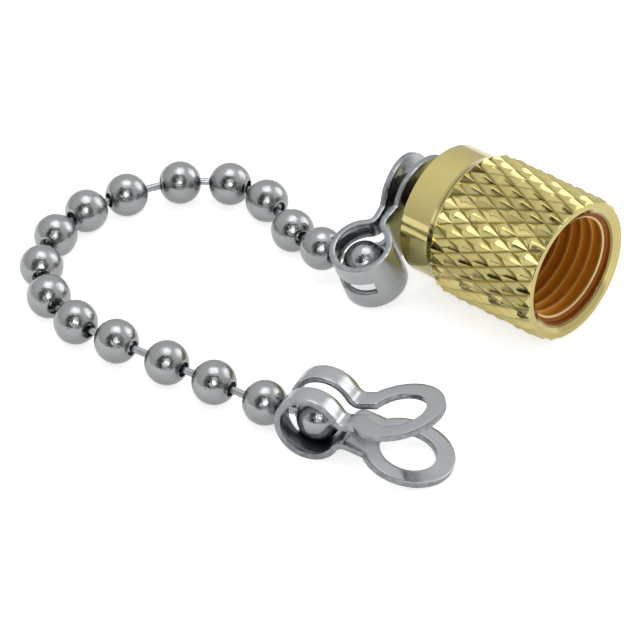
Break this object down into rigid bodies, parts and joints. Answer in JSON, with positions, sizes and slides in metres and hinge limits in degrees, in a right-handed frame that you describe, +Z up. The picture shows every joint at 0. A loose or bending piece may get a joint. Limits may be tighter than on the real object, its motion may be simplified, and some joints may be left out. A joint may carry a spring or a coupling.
{
  "type": "connector dust cap",
  "caption": "Knurled brass dust cap for a small threaded coaxial connector, with a loop of bead chain and a folded strip clasp at each end.",
  "frame": {"origin": "on the floor, under the middle of the whole object's bounding box", "axes": "+X along the cap's axis and out of its mouth, +Z up; the cap lies on its knurl and the chain and free clasp lie on the floor"},
  "size_m": [0.031, 0.0234, 0.0083],
  "materials": {
    "cap_body": "machined, gold plated, satin",
    "clasp_cap_end": "stamped stainless strip, tumbled bright",
    "bead_01": "nickel plated, bright",
    "pin_01": "plain steel wire, headed",
    "bead_02": "nickel plated, bright",
    "pin_02": "plain steel wire, headed",
    "bead_03": "nickel plated, bright",
    "pin_03": "plain steel wire, headed",
    "bead_04": "nickel plated, bright",
    "pin_04": "plain steel wire, headed",
    "bead_05": "nickel plated, bright",
    "pin_05": "plain steel wire, headed",
    "bead_06": "nickel plated, bright",
    "pin_06": "plain steel wire, headed",
    "bead_07": "nickel plated, bright",
    "pin_07": "plain steel wire, headed",
    "bead_08": "nickel plated, bright",
    "pin_08": "plain steel wire, headed",
    "bead_09": "nickel plated, bright",
    "pin_09": "plain steel wire, headed",
    "bead_10": "nickel plated, bright",
    "pin_10": "plain steel wire, headed",
    "bead_11": "nickel plated, bright",
    "pin_11": "plain steel wire, headed",
    "bead_12": "nickel plated, bright",
    "pin_12": "plain steel wire, headed",
    "bead_13": "nickel plated, bright",
    "pin_13": "plain steel wire, headed",
    "bead_14": "nickel plated, bright",
    "pin_14": "plain steel wire, headed",
    "bead_15": "nickel plated, bright",
    "pin_15": "plain steel wire, headed",
    "bead_16": "nickel plated, bright",
    "pin_16": "plain steel wire, headed",
    "bead_17": "nickel plated, bright",
    "clasp_free_end": "stamped stainless strip, tumbled bright"
  },
  "bodies": {
    "cap": {"cap_body": "cap_body"},
    "cap_end_clasp": {"clasp_cap_end": "clasp_cap_end"},
    "bead_01": {"bead_01": "bead_01"},
    "pin_01": {"pin_01": "pin_01"},
    "bead_02": {"bead_02": "bead_02"},
    "pin_02": {"pin_02": "pin_02"},
    "bead_03": {"bead_03": "bead_03"},
    "pin_03": {"pin_03": "pin_03"},
    "bead_04": {"bead_04": "bead_04"},
    "pin_04": {"pin_04": "pin_04"},
    "bead_05": {"bead_05": "bead_05"},
    "pin_05": {"pin_05": "pin_05"},
    "bead_06": {"bead_06": "bead_06"},
    "pin_06": {"pin_06": "pin_06"},
    "bead_07": {"bead_07": "bead_07"},
    "pin_07": {"pin_07": "pin_07"},
    "bead_08": {"bead_08": "bead_08"},
    "pin_08": {"pin_08": "pin_08"},
    "bead_09": {"bead_09": "bead_09"},
    "pin_09": {"pin_09": "pin_09"},
    "bead_10": {"bead_10": "bead_10"},
    "pin_10": {"pin_10": "pin_10"},
    "bead_11": {"bead_11": "bead_11"},
    "pin_11": {"pin_11": "pin_11"},
    "bead_12": {"bead_12": "bead_12"},
    "pin_12": {"pin_12": "pin_12"},
    "bead_13": {"bead_13": "bead_13"},
    "pin_13": {"pin_13": "pin_13"},
    "bead_14": {"bead_14": "bead_14"},
    "pin_14": {"pin_14": "pin_14"},
    "bead_15": {"bead_15": "bead_15"},
    "pin_15": {"pin_15": "pin_15"},
    "bead_16": {"bead_16": "bead_16"},
    "pin_16": {"pin_16": "pin_16"},
    "bead_17": {"bead_17": "bead_17"},
    "free_clasp": {"clasp_free_end": "clasp_free_end"}
  },
  "joints": [
    {"name": "clasp_swivel", "type": "hinge", "parent": "cap", "child": "cap_end_clasp", "pos_m": [0.00122, 0.00754, 0.00415], "axis": [1, 0, 0], "continuous": true},
    {"name": "bead_in_clasp", "type": "hinge", "parent": "cap_end_clasp", "child": "bead_01", "pos_m": [0.00172, 0.00292, 0.00222], "axis": [0, 0.4099, -0.9121], "range_deg": [-60, 40]},
    {"name": "pin_01_lift", "type": "hinge", "parent": "bead_01", "child": "pin_01", "pos_m": [0.00087, 0.00287, 0.00213], "axis": [-0.1073, 0.9942, 0], "range_deg": [-0.5, 16]},
    {"name": "bead_02_turn", "type": "hinge", "parent": "pin_01", "child": "bead_02", "pos_m": [-0.00088, 0.00268, 0.00193], "axis": [0, 0, 1], "range_deg": [-8.3, 35.6]},
    {"name": "pin_02_lift", "type": "hinge", "parent": "bead_02", "child": "pin_02", "pos_m": [-0.00217, 0.00285, 0.00171], "axis": [-0.3448, -0.9387, 0], "range_deg": [-17.6, 17.6]},
    {"name": "bead_03_turn", "type": "hinge", "parent": "pin_02", "child": "bead_03", "pos_m": [-0.0039, 0.00348, 0.00127], "axis": [0, 0, -1], "range_deg": [-21.8, 22.1]},
    {"name": "pin_03_lift", "type": "hinge", "parent": "bead_03", "child": "pin_03", "pos_m": [-0.00513, 0.00393, 0.00114], "axis": [0.4578, 0.889, 0], "range_deg": [-19.3, 19.3]},
    {"name": "bead_04_turn", "type": "hinge", "parent": "pin_03", "child": "bead_04", "pos_m": [-0.00692, 0.00485, 0.0012], "axis": [0, 0, 1], "range_deg": [-39.2, 4.7]},
    {"name": "pin_04_lift", "type": "hinge", "parent": "bead_04", "child": "pin_04", "pos_m": [-0.00822, 0.00508, 0.0012], "axis": [-0.0036, -1, 0], "range_deg": [-19.6, 19.6]},
    {"name": "bead_05_turn", "type": "hinge", "parent": "pin_04", "child": "bead_05", "pos_m": [-0.00965, 0.00509, 0.0012], "axis": [0, 0, -1], "range_deg": [-1.1, 42.8]},
    {"name": "pin_05_lift", "type": "hinge", "parent": "bead_05", "child": "pin_05", "pos_m": [-0.01088, 0.00462, 0.0012], "axis": [-0.6565, 0.7543, 0], "range_deg": [-8.2, 8.2]},
    {"name": "bead_06_turn", "type": "hinge", "parent": "pin_05", "child": "bead_06", "pos_m": [-0.01204, 0.00361, 0.0012], "axis": [0, 0, 1], "range_deg": [-32.9, 11]},
    {"name": "pin_06_lift", "type": "hinge", "parent": "bead_06", "child": "pin_06", "pos_m": [-0.01285, 0.00257, 0.0012], "axis": [0.9224, -0.3861, 0], "range_deg": [-15.8, 15.8]},
    {"name": "bead_07_turn", "type": "hinge", "parent": "pin_06", "child": "bead_07", "pos_m": [-0.01358, 0.00082, 0.0012], "axis": [0, 0, -1], "range_deg": [-14, 26.5]},
    {"name": "pin_07_lift", "type": "hinge", "parent": "bead_07", "child": "pin_07", "pos_m": [-0.014, -0.00044, 0.0012], "axis": [-0.9736, 0.2281, 0], "range_deg": [-21.4, 21.4]},
    {"name": "bead_08_turn", "type": "hinge", "parent": "pin_07", "child": "bead_08", "pos_m": [-0.01431, -0.00179, 0.0012], "axis": [0, 0, 1], "range_deg": [-33.9, 10]},
    {"name": "pin_08_lift", "type": "hinge", "parent": "bead_08", "child": "pin_08", "pos_m": [-0.01434, -0.00311, 0.0012], "axis": [0.9878, 0.1557, 0], "range_deg": [-19.5, 19.5]},
    {"name": "bead_09_turn", "type": "hinge", "parent": "pin_08", "child": "bead_09", "pos_m": [-0.01409, -0.0047, 0.0012], "axis": [0, 0, -1], "range_deg": [-11.2, 32.7]},
    {"name": "pin_09_lift", "type": "hinge", "parent": "bead_09", "child": "pin_09", "pos_m": [-0.01364, -0.00594, 0.0012], "axis": [-0.8641, -0.5033, 0], "range_deg": [-19.3, 19.3]},
    {"name": "bead_10_turn", "type": "hinge", "parent": "pin_09", "child": "bead_10", "pos_m": [-0.01275, -0.00747, 0.0012], "axis": [0, 0, 1], "range_deg": [-33.3, 10.6]},
    {"name": "pin_10_lift", "type": "hinge", "parent": "bead_10", "child": "pin_10", "pos_m": [-0.01188, -0.00846, 0.0012], "axis": [0.6049, 0.7963, 0], "range_deg": [-18.9, 18.9]},
    {"name": "bead_11_turn", "type": "hinge", "parent": "pin_10", "child": "bead_11", "pos_m": [-0.0106, -0.00943, 0.0012], "axis": [0, 0, -1], "range_deg": [-11.1, 32.8]},
    {"name": "pin_11_lift", "type": "hinge", "parent": "bead_11", "child": "pin_11", "pos_m": [-0.00942, -0.01002, 0.0012], "axis": [-0.2559, -0.9667, 0], "range_deg": [-18.7, 18.7]},
    {"name": "bead_12_turn", "type": "hinge", "parent": "pin_11", "child": "bead_12", "pos_m": [-0.00788, -0.01042, 0.0012], "axis": [0, 0, 1], "range_deg": [-30.9, 13]},
    {"name": "pin_12_lift", "type": "hinge", "parent": "bead_12", "child": "pin_12", "pos_m": [-0.00656, -0.01056, 0.0012], "axis": [-0.1267, 0.9919, 0], "range_deg": [-17.6, 17.6]},
    {"name": "bead_13_turn", "type": "hinge", "parent": "pin_12", "child": "bead_13", "pos_m": [-0.00505, -0.01036, 0.0012], "axis": [0, 0, -1], "range_deg": [-24.3, 19.6]},
    {"name": "pin_13_lift", "type": "hinge", "parent": "bead_13", "child": "pin_13", "pos_m": [-0.00373, -0.01025, 0.0012], "axis": [0.1108, -0.9938, 0], "range_deg": [-21.9, 21.9]},
    {"name": "bead_14_turn", "type": "hinge", "parent": "pin_13", "child": "bead_14", "pos_m": [-0.00171, -0.01003, 0.0012], "axis": [0, 0, 1], "range_deg": [-22.1, 21.8]},
    {"name": "pin_14_lift", "type": "hinge", "parent": "bead_14", "child": "pin_14", "pos_m": [-0.0004, -0.00988, 0.0012], "axis": [-0.1195, 0.9928, 0], "range_deg": [-21.9, 21.9]},
    {"name": "bead_15_turn", "type": "hinge", "parent": "pin_14", "child": "bead_15", "pos_m": [0.00134, -0.00967, 0.0012], "axis": [0, 0, -1], "range_deg": [-21.4, 22.5]},
    {"name": "pin_15_lift", "type": "hinge", "parent": "bead_15", "child": "pin_15", "pos_m": [0.00265, -0.0095, 0.0012], "axis": [0.134, -0.991, 0], "range_deg": [-21.9, 21.9]},
    {"name": "bead_16_turn", "type": "hinge", "parent": "pin_15", "child": "bead_16", "pos_m": [0.00453, -0.00924, 0.00116], "axis": [0, 0, 1], "range_deg": [-23.2, 20.7]},
    {"name": "pin_16_lift", "type": "hinge", "parent": "bead_16", "child": "pin_16", "pos_m": [0.00583, -0.00904, 0.00124], "axis": [-0.1809, 0.9835, 0], "range_deg": [-21.5, 21.5]},
    {"name": "bead_17_turn", "type": "hinge", "parent": "pin_16", "child": "bead_17", "pos_m": [0.00779, -0.00868, 0.0015], "axis": [0, 0, -1], "range_deg": [-6, 6]},
    {"name": "free_clasp_on_bead", "type": "hinge", "parent": "bead_17", "child": "free_clasp", "pos_m": [0.00843, -0.00856, 0.00186], "axis": [0.3256, -0.9455, 0], "range_deg": [-24, 140]}
  ]
}
